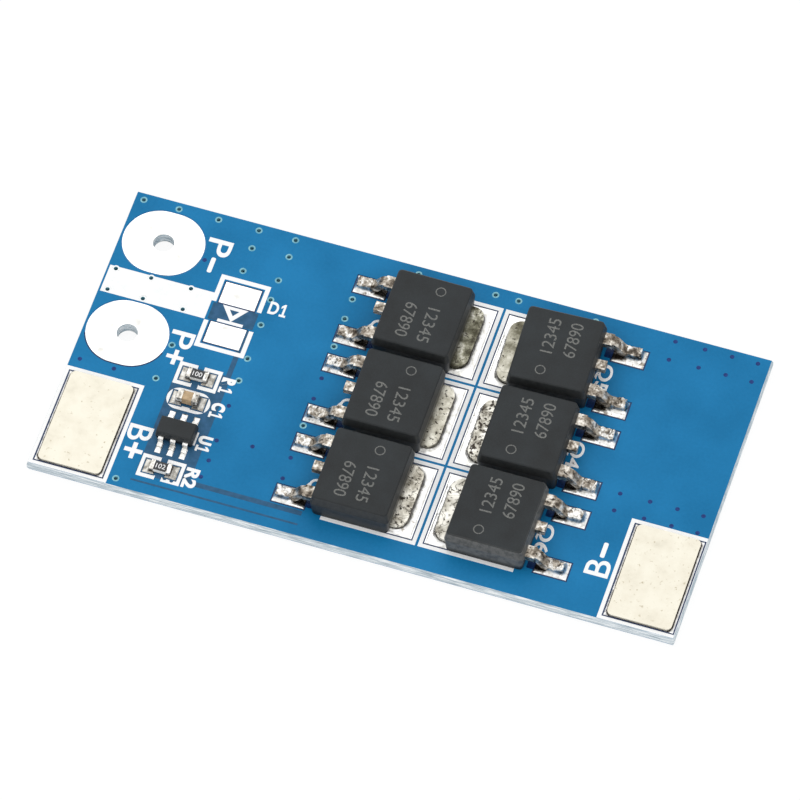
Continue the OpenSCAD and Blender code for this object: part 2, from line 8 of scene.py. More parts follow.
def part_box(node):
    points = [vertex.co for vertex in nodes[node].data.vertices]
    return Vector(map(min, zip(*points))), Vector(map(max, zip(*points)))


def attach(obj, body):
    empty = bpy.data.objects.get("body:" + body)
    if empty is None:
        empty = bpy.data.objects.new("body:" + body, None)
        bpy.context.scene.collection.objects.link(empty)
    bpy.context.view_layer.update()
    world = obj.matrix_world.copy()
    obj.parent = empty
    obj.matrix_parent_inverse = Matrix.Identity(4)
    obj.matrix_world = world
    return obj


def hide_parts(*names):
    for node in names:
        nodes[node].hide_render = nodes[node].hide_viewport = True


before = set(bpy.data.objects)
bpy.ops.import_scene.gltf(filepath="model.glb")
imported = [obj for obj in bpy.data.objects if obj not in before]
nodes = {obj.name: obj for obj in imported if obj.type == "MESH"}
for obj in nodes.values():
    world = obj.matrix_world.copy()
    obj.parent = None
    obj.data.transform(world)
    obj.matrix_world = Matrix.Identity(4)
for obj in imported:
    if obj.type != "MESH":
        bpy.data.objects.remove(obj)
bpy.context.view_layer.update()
mm = 0.001
tiny = 1e-6
print("frame loaded:", len(nodes), "nodes")


# camera, floor and light
view = {
    "azimuth": 20.15,
    "elevation": 58.73,
    "roll": -2.3,
    "lens": 363.0,
    "sensor": 36,
    "distance": 597.5 * mm,
    "aim": (-0.36 * mm, 0.89 * mm, 1.0 * mm),
}
light = {
    "skyLevel": 0.8,           # what the white surroundings give to a matt surface
    "keyPlace": (-0.25, 0.3, 0.6),
    "keySize": 0.9,
    "keyPower": 1.3,
    "fillPlace": (0.3, -0.6, 0.32),
    "fillSize": 0.6,
    "fillPower": 1.0,
    "floorSize": 4.0,
    "floorDrop": 0.005 * mm,   # keeps the floor off the board's own flat underside
    "floorGlow": 0.86,         # share of the floor's white that no shadow reaches
    "floorWhite": 1.03,
    "clearBelow": 0.05 * mm,   # how near under the board the floor turns clear
}


def linearColour(hexText):
    parts = [int(hexText[i:i + 2], 16) / 255 for i in (1, 3, 5)]
    return tuple(c / 12.92 if c <= 0.04045 else ((c + 0.055) / 1.055) ** 2.4 for c in parts) + (1.0,)


def addNode(mat, kind, links=None, stops=(), **settings):
    node = mat.node_tree.nodes.new(kind)
    for name, value in settings.items():
        setattr(node, name, value)
    for socket, value in (links or {}).items():
        if isinstance(value, bpy.types.Node):
            value = value.outputs[0]
        if isinstance(value, bpy.types.NodeSocket):
            mat.node_tree.links.new(value, node.inputs[socket])
        else:
            node.inputs[socket].default_value = value
    for number, (place, colour) in enumerate(stops):      # a colour ramp's bands, from low to high
        band = node.color_ramp.elements
        if len(band) < len(stops):
            band.new(0.5)
        band[number].position = place
        band[number].color = linearColour(colour) if isinstance(colour, str) else colour
    return node


def startMaterial(name):
    mat = bpy.data.materials.new(name)
    mat.use_nodes = True
    mat.node_tree.nodes.clear()
    return mat, addNode(mat, "ShaderNodeTexCoord").outputs["Object"]


def endMaterial(mat, surface):
    addNode(mat, "ShaderNodeOutputMaterial", {"Surface": surface})
    return mat


def placeCamera():
    turn = (Matrix.Rotation(math.radians(view["azimuth"]), 4, "Z")
            @ Matrix.Rotation(math.radians(90 - view["elevation"]), 4, "X")
            @ Matrix.Rotation(math.radians(view["roll"]), 4, "Z"))
    camera = bpy.data.objects.new("camera", bpy.data.cameras.new("camera"))
    camera.data.lens = view["lens"]
    camera.data.sensor_width = view["sensor"]
    back = Matrix.Translation((0, 0, view["distance"]))
    camera.matrix_world = Matrix.Translation(view["aim"]) @ turn @ back
    bpy.context.scene.collection.objects.link(camera)
    bpy.context.scene.camera = camera


def placeLamp(name, place, size, power):
    lamp = bpy.data.lights.new(name, "AREA")
    lamp.shape = "DISK"
    lamp.size = size
    lamp.energy = power
    holder = bpy.data.objects.new(name, lamp)
    holder.location = place
    holder.rotation_euler = (-Vector(place)).to_track_quat("-Z", "Y").to_euler()
    bpy.context.scene.collection.objects.link(holder)


def whiteSurroundings():
    world = bpy.data.worlds.new("whiteRoom")
    bpy.context.scene.world = world
    world.use_nodes = True
    world.node_tree.nodes.clear()
    path = addNode(world, "ShaderNodeLightPath")
    seen = addNode(world, "ShaderNodeMath",
                   {0: path.outputs["Is Camera Ray"], 1: path.outputs["Is Glossy Ray"]}, operation="ADD")
    seen = addNode(world, "ShaderNodeMath", {0: seen, 1: path.outputs["Is Transmission Ray"]},
                   operation="ADD", use_clamp=True)
    matt = addNode(world, "ShaderNodeBackground", {"Color": (1, 1, 1, 1), "Strength": light["skyLevel"]})
    shown = addNode(world, "ShaderNodeBackground", {"Color": (1, 1, 1, 1), "Strength": 1.0})
    mixed = addNode(world, "ShaderNodeMixShader", {0: seen, 1: matt, 2: shown})
    addNode(world, "ShaderNodeOutputWorld", {"Surface": mixed})


def layFloor():
    shape = bmesh.new()
    bmesh.ops.create_grid(shape, x_segments=1, y_segments=1, size=light["floorSize"] / 2)
    bmesh.ops.translate(shape, verts=shape.verts, vec=(0, 0, -light["floorDrop"]))
    floorMesh = bpy.data.meshes.new("floor")
    shape.to_mesh(floorMesh)
    shape.free()
    floor = bpy.data.objects.new("floor", floorMesh)
    bpy.context.scene.collection.objects.link(floor)
    mat = startMaterial("whitePaper")[0]
    path = addNode(mat, "ShaderNodeLightPath")
    seen = addNode(mat, "ShaderNodeMath",
                   {0: path.outputs["Is Camera Ray"], 1: path.outputs["Is Glossy Ray"]},
                   operation="ADD", use_clamp=True)
    share = addNode(mat, "ShaderNodeMath", {0: seen, 1: light["floorGlow"]}, operation="MULTIPLY")
    paper = addNode(mat, "ShaderNodeBsdfDiffuse", {"Color": linearColour("#FAFAFA")})
    glow = addNode(mat, "ShaderNodeEmission", {"Color": (1, 1, 1, 1), "Strength": light["floorWhite"]})
    mixed = addNode(mat, "ShaderNodeMixShader", {0: share, 1: paper, 2: glow})
    # from below, and right under the board, the floor is clear, so that the underside can be seen
    side = addNode(mat, "ShaderNodeNewGeometry")
    under = addNode(mat, "ShaderNodeMath", {0: path.outputs["Ray Length"], 1: light["clearBelow"]},
                    operation="LESS_THAN")
    clear = addNode(mat, "ShaderNodeMath", {0: side.outputs["Backfacing"], 1: under}, operation="MAXIMUM")
    empty = addNode(mat, "ShaderNodeBsdfTransparent")
    endMaterial(mat, addNode(mat, "ShaderNodeMixShader", {0: clear, 1: mixed, 2: empty}))
    floor.data.materials.append(mat)


bpy.context.scene.view_settings.view_transform = "Standard"
placeCamera()
placeLamp("keyLamp", light["keyPlace"], light["keySize"], light["keyPower"])
placeLamp("fillLamp", light["fillPlace"], light["fillSize"], light["fillPower"])
whiteSurroundings()
layFloor()
print("camera, floor and light placed")


# materials: each function gives one finish
def perMm(size):
    return 1000 / size          # a noise scale whose grains are this many millimetres


# Solder mask: a cured blue lacquer, screened over the copper. Half gloss, slightly uneven
# in its blue, with the board's weave just telling under it.
def blueLacquer():
    mat, onPiece = startMaterial("blueSolderMask")
    cloud = addNode(mat, "ShaderNodeTexNoise", {"Vector": onPiece, "Scale": perMm(5.0), "Detail": 2.0})
    grain = addNode(mat, "ShaderNodeTexNoise", {"Vector": onPiece, "Scale": perMm(0.25), "Detail": 3.0})
    both = addNode(mat, "ShaderNodeMix", {0: 0.25, 2: cloud, 3: grain}, data_type="FLOAT")
    tint = addNode(mat, "ShaderNodeValToRGB", {0: both}, stops=[(0.34, "#1070A3"), (0.66, "#1B7DB4")])
    skin = addNode(mat, "ShaderNodeBump", {"Height": grain, "Strength": 0.06, "Distance": 0.02 * mm})
    coat = addNode(mat, "ShaderNodeBsdfPrincipled",
                   {"Base Color": tint, "Roughness": 0.4, "Specular IOR Level": 0.12, "Normal": skin})
    return endMaterial(mat, coat)


# Screen print: thick white ink, matt, with the screen's fine grain.
def whiteInk():
    mat, onPiece = startMaterial("whiteScreenInk")
    cloud = addNode(mat, "ShaderNodeTexNoise", {"Vector": onPiece, "Scale": perMm(0.4), "Detail": 3.0})
    grain = addNode(mat, "ShaderNodeTexNoise", {"Vector": onPiece, "Scale": perMm(0.08), "Detail": 2.0})
    tint = addNode(mat, "ShaderNodeValToRGB", {0: cloud}, stops=[(0.3, "#F9FBFB"), (0.6, "#FFFFFF")])
    skin = addNode(mat, "ShaderNodeBump", {"Height": grain, "Strength": 0.2, "Distance": 0.01 * mm})
    ink = addNode(mat, "ShaderNodeBsdfPrincipled",
                  {"Base Color": tint, "Roughness": 0.6, "Specular IOR Level": 0.3, "Normal": skin})
    return endMaterial(mat, ink)


# Snapped glass-epoxy: pale, chalky ends of glass bundles on the edges, torn into small blue-grey pits
# on the two short edges; in the narrow gaps of the mask, dark board that is partly painted shade of these
# crevices.
def glassEpoxy():
    lessShadeRight, lessShadeFront = -17 * mm, -0.5 * mm      # the corner with the output pads, where the gaps are paler
    levelFrom = 0.99                              # a face whose normal is this upright is flat
    mat, onPiece = startMaterial("glassEpoxyLaminate")
    along = addNode(mat, "ShaderNodeMapping", {"Vector": onPiece, "Scale": (0.4, 0.4, 6)})
    bundles = addNode(mat, "ShaderNodeTexNoise",
                      {"Vector": along, "Scale": perMm(0.7), "Detail": 5.0, "Roughness": 0.65})
    edge = addNode(mat, "ShaderNodeValToRGB", {0: bundles},
                   stops=[(0.34, "#8C9CA6"), (0.48, "#BECAD1"), (0.62, "#F0F4F6")])
    facing = addNode(mat, "ShaderNodeSeparateXYZ", {"Vector": onPiece.node.outputs["Normal"]})
    endways = addNode(mat, "ShaderNodeMath", {0: facing.outputs["X"]}, operation="ABSOLUTE")
    tear = addNode(mat, "ShaderNodeTexNoise",
                   {"Vector": onPiece, "Scale": perMm(0.6), "Detail": 4.0, "Roughness": 0.7})
    pits = addNode(mat, "ShaderNodeValToRGB", {0: tear},
                   stops=[(0.38, (1, 1, 1, 1)), (0.52, (0, 0, 0, 1))])
    torn = addNode(mat, "ShaderNodeMath", {0: pits, 1: endways}, operation="MULTIPLY", use_clamp=True)
    edge = addNode(mat, "ShaderNodeMix", {0: torn, 6: edge, 7: linearColour("#A9BBC6")}, data_type="RGBA")
    flat = addNode(mat, "ShaderNodeMath", {0: facing.outputs["Z"]}, operation="ABSOLUTE")
    flat = addNode(mat, "ShaderNodeMath", {0: flat, 1: levelFrom}, operation="GREATER_THAN")
    place = addNode(mat, "ShaderNodeSeparateXYZ", {"Vector": onPiece})
    leftOf = addNode(mat, "ShaderNodeMath", {0: place.outputs["X"], 1: lessShadeRight}, operation="LESS_THAN")
    behind = addNode(mat, "ShaderNodeMath", {0: place.outputs["Y"], 1: lessShadeFront}, operation="GREATER_THAN")
    lessShadeCorner = addNode(mat, "ShaderNodeMath", {0: leftOf, 1: behind}, operation="MULTIPLY")
    # painted shade: the gaps' dark blue stands partly for shade in these narrow crevices, paler at the
    # output pads' corner
    gap = addNode(mat, "ShaderNodeMix",
                  {0: lessShadeCorner, 6: linearColour("#243C66"), 7: linearColour("#2C7DB4")}, data_type="RGBA")
    tint = addNode(mat, "ShaderNodeMix", {0: flat, 6: edge.outputs[2], 7: gap.outputs[2]}, data_type="RGBA")
    skin = addNode(mat, "ShaderNodeBump", {"Height": bundles, "Strength": 0.5, "Distance": 0.06 * mm})
    board = addNode(mat, "ShaderNodeBsdfPrincipled",
                    {"Base Color": tint.outputs[2], "Roughness": 0.7, "Normal": skin})
    return endMaterial(mat, board)


# Levelled tin on copper: bright and gently uneven, dulled a little between the bumps.
def levelledTin():
    mat, onPiece = startMaterial("levelledTin")
    swell = addNode(mat, "ShaderNodeTexNoise", {"Vector": onPiece, "Scale": perMm(0.9), "Detail": 2.0})
    tint = addNode(mat, "ShaderNodeValToRGB", {0: swell},
                   stops=[(0.25, "#C9C8C4"), (0.5, "#F3F3F1"), (0.75, "#FFFFFF")])
    skin = addNode(mat, "ShaderNodeBump", {"Height": swell, "Strength": 0.35, "Distance": 0.08 * mm})
    metal = addNode(mat, "ShaderNodeBsdfPrincipled",
                    {"Base Color": tint, "Metallic": 1.0, "Roughness": 0.3, "Normal": skin})
    return endMaterial(mat, metal)


# Flux that has run into thin wandering lines, which follow the middle value of a noise. It
# gives white on the lines and black elsewhere, as a share for other colours.
def fluxLines(mat, onPiece, size, width):
    wander = addNode(mat, "ShaderNodeTexNoise",
                     {"Vector": onPiece, "Scale": perMm(size), "Detail": 2.0, "Roughness": 0.6,
                      "Distortion": 0.8})
    off = addNode(mat, "ShaderNodeMath", {0: wander, 1: 0.5}, operation="SUBTRACT")
    off = addNode(mat, "ShaderNodeMath", {0: off}, operation="ABSOLUTE")
    return addNode(mat, "ShaderNodeValToRGB", {0: off}, stops=[(0.0, (1, 1, 1, 1)), (width, (0, 0, 0, 1))])


# Tin-plated lead frame after soldering: silver where it is clean, brown-grey where flux
# has burnt on, broken up at a few tenths of a millimetre, with small black pits. A tab's
# other end, the cut lead, lies across a line and has the leads' own shades.
def stainedTin(name, cloudSize, shades, pits, lines=0.0, cutLead=None):
    mat, onPiece = startMaterial(name)
    bands = (0.34, 0.45, 0.54, 0.66)
    cloud = addNode(mat, "ShaderNodeTexNoise",
                    {"Vector": onPiece, "Scale": perMm(cloudSize), "Detail": 4.0, "Roughness": 0.6})
    tint = addNode(mat, "ShaderNodeValToRGB", {0: cloud}, stops=list(zip(bands, shades)))
    speck = addNode(mat, "ShaderNodeTexNoise",
                    {"Vector": onPiece, "Scale": perMm(0.3), "Detail": 2.0, "Roughness": 0.6})
    dark = addNode(mat, "ShaderNodeValToRGB", {0: speck},
                   stops=[(pits, (1, 1, 1, 1)), (pits + 0.06, (0, 0, 0, 1))])
    if lines:
        dark = addNode(mat, "ShaderNodeMath", {0: dark, 1: fluxLines(mat, onPiece, 1.1, lines)},
                       operation="MAXIMUM")
    tint = addNode(mat, "ShaderNodeMix", {0: dark, 6: tint, 7: linearColour("#3A352F")}, data_type="RGBA")
    if cutLead:
        line, side = cutLead
        place = addNode(mat, "ShaderNodeSeparateXYZ", {"Vector": onPiece})
        beyond = addNode(mat, "ShaderNodeMath", {0: place.outputs["X"], 1: line}, operation=side)
        mottle = addNode(mat, "ShaderNodeTexNoise",
                         {"Vector": onPiece, "Scale": perMm(0.35), "Detail": 3.0, "Roughness": 0.6})
        lead = addNode(mat, "ShaderNodeValToRGB", {0: mottle}, stops=list(zip(bands, leadShades)))
        tint = addNode(mat, "ShaderNodeMix", {0: beyond, 6: tint.outputs[2], 7: lead}, data_type="RGBA")
    skin = addNode(mat, "ShaderNodeBump", {"Height": cloud, "Strength": 0.5, "Distance": 0.08 * mm})
    metal = addNode(mat, "ShaderNodeBsdfPrincipled",
                    {"Base Color": tint.outputs[2], "Metallic": 0.9, "Roughness": 0.34, "Normal": skin})
    return endMaterial(mat, metal)


# Solder: bright frozen metal. Burnt flux is a dark line where it meets what it holds, and
# under a lead's bend there is a painted shade; both follow the piece's "stain" values. A brown film over a
# lead follows "film".
def solderMetal(name, shades, darkness):
    raggedness = 1.4      # how much the noise breaks up the film's edge
    unevenness = 0.9      # how much it changes the dark line's strength
    mat, onPiece = startMaterial(name)
    cloud = addNode(mat, "ShaderNodeTexNoise",
                    {"Vector": onPiece, "Scale": perMm(0.5), "Detail": 4.0, "Roughness": 0.6})
    fine = addNode(mat, "ShaderNodeTexNoise", {"Vector": onPiece, "Scale": perMm(0.12), "Detail": 2.0})
    mottle = addNode(mat, "ShaderNodeTexNoise",
                     {"Vector": onPiece, "Scale": perMm(0.55), "Detail": 2.0, "Roughness": 0.6})
    bright = addNode(mat, "ShaderNodeValToRGB", {0: cloud}, stops=list(zip((0.3, 0.45, 0.6), shades)))
    brown = addNode(mat, "ShaderNodeValToRGB", {0: mottle},
                    stops=[(0.34, "#575048"), (0.46, "#958C80"), (0.56, "#C9C3B9"), (0.64, "#FAF9F6")])
    film = addNode(mat, "ShaderNodeAttribute", attribute_name="film")
    ragged = addNode(mat, "ShaderNodeMath", {0: cloud, 1: raggedness, 2: film.outputs["Fac"]},
                     operation="MULTIPLY_ADD")
    share = addNode(mat, "ShaderNodeValToRGB", {0: ragged},
                    stops=[(0.86, (0, 0, 0, 1)), (0.98, (1, 1, 1, 1))])
    tint = addNode(mat, "ShaderNodeMix", {0: share, 6: bright, 7: brown}, data_type="RGBA")
    stain = addNode(mat, "ShaderNodeAttribute", attribute_name="stain")
    broken = addNode(mat, "ShaderNodeMath", {0: fine, 1: unevenness, 2: darkness}, operation="MULTIPLY_ADD")
    amount = addNode(mat, "ShaderNodeMath", {0: stain.outputs["Fac"], 1: broken}, operation="MULTIPLY",
                     use_clamp=True)
    lines = addNode(mat, "ShaderNodeMath", {0: fluxLines(mat, onPiece, 0.8, 0.03), 1: film.outputs["Fac"]},
                    operation="MULTIPLY")
    amount = addNode(mat, "ShaderNodeMath", {0: amount, 1: lines}, operation="MAXIMUM")
    tint = addNode(mat, "ShaderNodeMix", {0: amount, 6: tint.outputs[2], 7: linearColour("#332C26")},
                   data_type="RGBA")
    skin = addNode(mat, "ShaderNodeBump", {"Height": cloud, "Strength": 0.4, "Distance": 0.06 * mm})
    metal = addNode(mat, "ShaderNodeBsdfPrincipled",
                    {"Base Color": tint.outputs[2], "Metallic": 0.9, "Roughness": 0.28, "Normal": skin})
    return endMaterial(mat, metal)


# Nickel strip: rolled, bead-dulled and slightly yellow, with faint cloudy stains and specks.
def rolledNickel():
    mat, onPiece = startMaterial("rolledNickel")
    cloud = addNode(mat, "ShaderNodeTexNoise",
                    {"Vector": onPiece, "Scale": perMm(1.6), "Detail": 5.0, "Roughness": 0.6})
    tint = addNode(mat, "ShaderNodeValToRGB", {0: cloud},
                   stops=[(0.28, "#CFCABB"), (0.42, "#D9D4C5"), (0.6, "#DEDACC")])
    speck = addNode(mat, "ShaderNodeTexNoise", {"Vector": onPiece, "Scale": perMm(0.3), "Detail": 3.0})
    dirt = addNode(mat, "ShaderNodeValToRGB", {0: speck},
                   stops=[(0.25, (1, 1, 1, 1)), (0.36, (0, 0, 0, 1))])
    tint = addNode(mat, "ShaderNodeMix", {0: dirt, 6: tint, 7: linearColour("#B5AC96")}, data_type="RGBA")
    grain = addNode(mat, "ShaderNodeTexNoise", {"Vector": onPiece, "Scale": perMm(0.12), "Detail": 2.0})
    skin = addNode(mat, "ShaderNodeBump", {"Height": grain, "Strength": 0.12, "Distance": 0.02 * mm})
    metal = addNode(mat, "ShaderNodeBsdfPrincipled",
                    {"Base Color": tint.outputs[2], "Metallic": 1.0, "Roughness": 0.5, "Normal": skin})
    return endMaterial(mat, metal)


# Moulded epoxy: near black with filler in it, spark-eroded to a fine even grain. The
# drafted sides are painted greyer, as painted light from the front and side, broken by
# darker specks, down to their foot, which stays dark as a painted contact shadow.
def mouldedEpoxy(name, paintedSideLight):
    # painted shadow: below the first height the sides keep the dark colour, and the painted side light grows
    # in up to the second
    paintedShadowTop, paintedLightFrom = 1.3 * mm, 1.7 * mm      # heights between which the dark foot ends
    mat, onPiece = startMaterial(name)
    grain = addNode(mat, "ShaderNodeTexNoise",
                    {"Vector": onPiece, "Scale": perMm(0.1), "Detail": 3.0, "Roughness": 0.6})
    cloud = addNode(mat, "ShaderNodeTexNoise", {"Vector": onPiece, "Scale": perMm(2.2), "Detail": 2.0})
    both = addNode(mat, "ShaderNodeMix", {0: 0.4, 2: cloud, 3: grain}, data_type="FLOAT")
    tint = addNode(mat, "ShaderNodeValToRGB", {0: both}, stops=[(0.35, "#101416"), (0.65, "#1F2528")])
    facing = addNode(mat, "ShaderNodeSeparateXYZ", {"Vector": onPiece.node.outputs["Normal"]})
    level = addNode(mat, "ShaderNodeMath", {0: facing.outputs["Z"]}, operation="ABSOLUTE")
    upright = addNode(mat, "ShaderNodeMath", {0: 1.0, 1: level}, operation="SUBTRACT")
    dust = addNode(mat, "ShaderNodeTexNoise",
                   {"Vector": onPiece, "Scale": perMm(0.35), "Detail": 4.0, "Roughness": 0.7})
    specks = addNode(mat, "ShaderNodeValToRGB", {0: dust},
                     stops=[(0.38, (0.5, 0.5, 0.5, 1)), (0.56, (1, 1, 1, 1))])
    place = addNode(mat, "ShaderNodeSeparateXYZ", {"Vector": onPiece})
    clearOfPaintedShadow = addNode(mat, "ShaderNodeMapRange",
                    {"Value": place.outputs["Z"], "From Min": paintedShadowTop, "From Max": paintedLightFrom})
    share = addNode(mat, "ShaderNodeMath", {0: upright, 1: specks}, operation="MULTIPLY", use_clamp=True)
    share = addNode(mat, "ShaderNodeMath", {0: share, 1: clearOfPaintedShadow}, operation="MULTIPLY")
    tint = addNode(mat, "ShaderNodeMix", {0: share, 6: tint, 7: linearColour(paintedSideLight)}, data_type="RGBA")
    skin = addNode(mat, "ShaderNodeBump", {"Height": grain, "Strength": 0.35, "Distance": 0.02 * mm})
    body = addNode(mat, "ShaderNodeBsdfPrincipled",
                   {"Base Color": tint.outputs[2], "Roughness": 0.45, "Specular IOR Level": 0.32,
                    "Normal": skin})
    return endMaterial(mat, body)


# Fired ceramic: chalky, very fine, slightly uneven in colour.
def firedCeramic(name, dark, pale):
    mat, onPiece = startMaterial(name)
    cloud = addNode(mat, "ShaderNodeTexNoise", {"Vector": onPiece, "Scale": perMm(0.3), "Detail": 3.0})
    tint = addNode(mat, "ShaderNodeValToRGB", {0: cloud}, stops=[(0.3, dark), (0.7, pale)])
    skin = addNode(mat, "ShaderNodeBump", {"Height": cloud, "Strength": 0.15, "Distance": 0.02 * mm})
    body = addNode(mat, "ShaderNodeBsdfPrincipled", {"Base Color": tint, "Roughness": 0.55, "Normal": skin})
    return endMaterial(mat, body)


# Glass coat over a resistor: black, smooth and slightly wavy.
def blackGlaze():
    mat, onPiece = startMaterial("blackGlassGlaze")
    wave = addNode(mat, "ShaderNodeTexNoise", {"Vector": onPiece, "Scale": perMm(0.4), "Detail": 2.0})
    tint = addNode(mat, "ShaderNodeValToRGB", {0: wave}, stops=[(0.3, "#15171A"), (0.7, "#24272B")])
    skin = addNode(mat, "ShaderNodeBump", {"Height": wave, "Strength": 0.2, "Distance": 0.02 * mm})
    glaze = addNode(mat, "ShaderNodeBsdfPrincipled", {"Base Color": tint, "Roughness": 0.25, "Normal": skin})
    return endMaterial(mat, glaze)


# Plated hole: the lacquer has run thin over its ring, so it shows paler and greener.
def thinLacquerRing():
    mat, onPiece = startMaterial("thinLacquerOverCopper")
    cloud = addNode(mat, "ShaderNodeTexNoise", {"Vector": onPiece, "Scale": perMm(0.3), "Detail": 2.0})
    tint = addNode(mat, "ShaderNodeValToRGB", {0: cloud}, stops=[(0.3, "#4F93A8"), (0.7, "#86BFC9")])
    ring = addNode(mat, "ShaderNodeBsdfPrincipled", {"Base Color": tint, "Metallic": 0.2, "Roughness": 0.35})
    return endMaterial(mat, ring)


# Bare board under the lacquer where no copper lies: the blue turns darker and more purple.
def lacquerOverBoard():
    mat, onPiece = startMaterial("blueMaskOverBareBoard")
    weave = addNode(mat, "ShaderNodeTexNoise", {"Vector": onPiece, "Scale": perMm(0.5), "Detail": 3.0})
    tint = addNode(mat, "ShaderNodeValToRGB", {0: weave}, stops=[(0.3, "#2B5675"), (0.7, "#39648A")])
    coat = addNode(mat, "ShaderNodeBsdfPrincipled",
                   {"Base Color": tint, "Roughness": 0.4, "Specular IOR Level": 0.12})
    return endMaterial(mat, coat)


# Dark blue lacquer, deep and nearly black: sunk into a small hole, and also laid as painted shade on the
# mask under the lead shoulders.
def sunkLacquerAndShade(name, dark, pale):
    mat, onPiece = startMaterial(name)
    cloud = addNode(mat, "ShaderNodeTexNoise", {"Vector": onPiece, "Scale": perMm(0.2), "Detail": 2.0})
    tint = addNode(mat, "ShaderNodeValToRGB", {0: cloud}, stops=[(0.3, dark), (0.7, pale)])
    coat = addNode(mat, "ShaderNodeBsdfPrincipled",
                   {"Base Color": tint, "Roughness": 0.3, "Specular IOR Level": 0.2})
    return endMaterial(mat, coat)


# Laser marking: the epoxy's skin burnt to a pale, chalky grey.
def laserBurn():
    mat, onPiece = startMaterial("laserBurntEpoxy")
    grain = addNode(mat, "ShaderNodeTexNoise", {"Vector": onPiece, "Scale": perMm(0.08), "Detail": 2.0})
    tint = addNode(mat, "ShaderNodeValToRGB", {0: grain}, stops=[(0.35, "#565756"), (0.6, "#80817E")])
    burn = addNode(mat, "ShaderNodeBsdfPrincipled",
                   {"Base Color": tint, "Roughness": 0.8, "Specular IOR Level": 0.2})
    return endMaterial(mat, burn)


leadShades = ("#4A433B", "#857C70", "#B0A99E", "#ECE8E0")
finishes = {
    "laminate": glassEpoxy(),
    "mask": blueLacquer(),
    "ink": whiteInk(),
    "pads": levelledTin(),
    "leads": stainedTin("stainedTinPlate", 0.45, leadShades, 0.35),
    "ends": stainedTin("fritTinnedEnds", 0.5, ("#8A867F", "#C4C1B9", "#E4E1DB", "#FFFFFF"), 0.34),
    "legs": stainedTin("brightTinnedLegs", 0.5, ("#B9B6B0", "#E2E0DB", "#F6F5F2", "#FFFFFF"), 0.3),
    "solder": solderMetal("solderAlloy", ("#C9C7C0", "#EFEEEA", "#FFFFFF"), 0.6),
    "smallSolder": solderMetal("smallPartSolder", ("#77746D", "#A6A39B", "#D9D7D1"), 0.7),
    "nickel": rolledNickel(),
    # the grey of the package sides is painted light; q6's paler grey is more painted light on its front
    "epoxy": mouldedEpoxy("mouldedEpoxy", "#333434"),
    "sideLitEpoxy": mouldedEpoxy("mouldedEpoxyPaleSideLight", "#656563"),
    "white": firedCeramic("aluminaCeramic", "#E4E3DC", "#F6F5F0"),
    "tan": firedCeramic("titanateCeramic", "#A88D6A", "#C7AD88"),
    "glaze": blackGlaze(),
    "ring": thinLacquerRing(),
    "bareBlue": lacquerOverBoard(),
    # painted shade under the lead shoulders
    "paintedShadeBlue": sunkLacquerAndShade("paintedShadeLacquer", "#0A1F45", "#17386B"),
    "plugBlue": sunkLacquerAndShade("pluggedHoleLacquer", "#0E2A63", "#1A3E84"),
    "burn": laserBurn(),
}

# each tab has been through the solder in its own way: name, patch size, shades, pits and lines
tabLooks = {
    # q1's darker olive is partly its stain and partly a painted reflection of the dark moulding beside it
    1: ("oliveStainedTab", 0.9, ("#444235", "#6D6B5B", "#9A9887", "#DEDCD1"), 0.32, 0.014),
    2: ("creamTinnedTab", 1.1, ("#8D897B", "#B7B3A5", "#CBC8BB", "#E4E1D6"), 0.35, 0.0),
    3: ("creamLinedTab", 0.9, ("#8A8578", "#BBB6A9", "#D2CEC2", "#ECE9DF"), 0.36, 0.025),
    4: ("blackPittedTab", 0.8, ("#5B564C", "#A5A196", "#CDCABF", "#F2F0EA"), 0.42, 0.02),
    5: ("greyStainedTab", 1.4, ("#5E5B4C", "#8C897A", "#AFAC9E", "#D5D2C6"), 0.32, 0.008),
    6: ("paleTinnedTab", 1.2, ("#8C887D", "#B9B6AB", "#D0CDC4", "#E4E2D9"), 0.34, 0.018),
}
leadsFrom = 2 * mm      # from a package's middle towards its leads
for number, look in tabLooks.items():
    low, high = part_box("q%d_moulding" % number)
    middle = (low.x + high.x) / 2
    cut = (middle - leadsFrom, "LESS_THAN") if number < 4 else (middle + leadsFrom, "GREATER_THAN")
    finishes["q%d_tab" % number] = stainedTin(*look, cut)

wearing = [
    ("laminate", ["laminate"]),
    ("mask", ["top_mask", "bottom_mask"]),
    ("ink", ["print"]),
    ("pads", ["tinned_pads", "p_minus_pad", "p_plus_pad"]),
    ("ring", ["open_vias", "covered_vias"]),
    ("nickel", ["b_plus_plate", "b_minus_plate"]),
    ("tan", ["c1_ceramic"]),
    ("white", ["r1_ceramic", "r2_ceramic"]),
    ("glaze", ["r1_coat", "r2_coat"]),
    ("solder", ["small_solder"] + ["q%d_solder" % q for q in range(1, 7)]),
    ("legs", ["u1_leads"]),
    ("ends", ["c1_ends", "r1_ends", "r2_ends"]),
    ("leads", ["q%d_%s" % (q, part) for q in range(1, 7) for part in ("gate_lead", "source_lead")]),
    ("epoxy", ["u1_moulding"] + ["q%d_moulding" % q for q in range(1, 6)]),
    ("sideLitEpoxy", ["q6_moulding"]),
]
wearing += [("q%d_tab" % q, ["q%d_tab" % q]) for q in range(1, 7)]
for finish, names in wearing:
    for name in names:
        nodes[name].data.materials.clear()
        nodes[name].data.materials.append(finishes[finish])
print("materials made")


